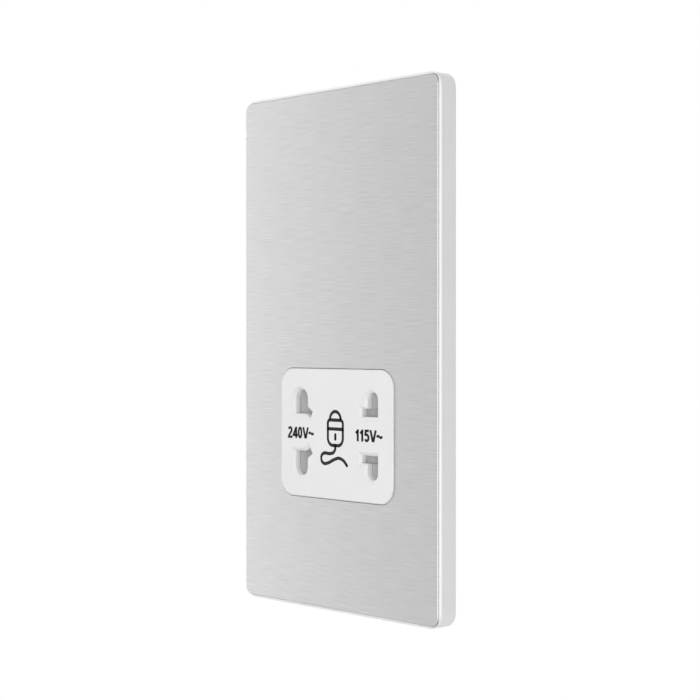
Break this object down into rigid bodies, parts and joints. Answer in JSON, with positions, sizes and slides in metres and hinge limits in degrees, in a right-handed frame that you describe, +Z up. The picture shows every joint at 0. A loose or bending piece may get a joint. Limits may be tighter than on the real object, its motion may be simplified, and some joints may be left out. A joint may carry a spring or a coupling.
{
  "type": "shaver socket",
  "caption": "Shaver supply socket: brushed steel facia in a white moulded frame, shuttered pin openings, and an isolating transformer in a box behind.",
  "frame": {"origin": "midway between the two fixing holes, on the wall plane", "axes": "+X to the right seen from the room, +Y into the wall, +Z up"},
  "size_m": [0.086, 0.0486, 0.147],
  "materials": {
    "white_moulding": "satin white moulded",
    "facia_steel": "brushed across the width",
    "carrier_plastic": "moulded",
    "shutter_plastic": "moulded",
    "spring_steel": "drawn wire",
    "brass": "bright",
    "base_plastic": "moulded",
    "screw_steel": "zinc plated",
    "core_steel": "varnished laminations",
    "bobbin_plastic": "moulded",
    "copper": "enamelled wire",
    "tape": "polyester tape",
    "cutout_plastic": "moulded",
    "housing_plastic": "moulded",
    "lead_brown": "cable insulation",
    "lead_blue": "cable insulation",
    "lead_white": "cable insulation"
  },
  "bodies": {
    "socket": {"plate_frame": "white_moulding", "front_plate": "facia_steel", "socket_face": "white_moulding", "clip_carrier": "carrier_plastic", "spring_240": "spring_steel", "spring_115": "spring_steel", "contact_240": "brass", "contact_115": "brass", "contact_common": "brass", "socket_base": "base_plastic", "socket_screws": "screw_steel", "core_laminations": "core_steel", "bobbin": "bobbin_plastic", "primary_winding": "copper", "primary_tape": "tape", "secondary_winding": "copper", "secondary_tape": "tape", "bobbin_tags": "brass", "thermal_cutout": "cutout_plastic", "rear_housing": "housing_plastic", "housing_screws": "screw_steel", "terminal_live": "brass", "terminal_earth": "brass", "terminal_neutral": "brass", "terminal_screws": "screw_steel", "earth_strap": "brass", "lead_neutral": "lead_blue", "lead_live": "lead_brown", "lead_cutout": "lead_brown", "lead_240": "lead_white", "lead_115": "lead_white", "lead_common": "lead_white"},
    "left_shutter": {"shutter_240": "shutter_plastic"},
    "right_shutter": {"shutter_115": "shutter_plastic"}
  },
  "joints": [
    {"name": "shutter_240_slide", "type": "slide", "parent": "socket", "child": "left_shutter", "axis": [-1, 0, 0], "range_m": [0, 0.008], "stiffness_N_per_m": 150, "springref_m": -0.004, "deforming": ["spring_240"]},
    {"name": "shutter_115_slide", "type": "slide", "parent": "socket", "child": "right_shutter", "axis": [-1, 0, 0], "range_m": [0, 0.0072], "stiffness_N_per_m": 150, "springref_m": -0.004, "deforming": ["spring_115"]}
  ]
}
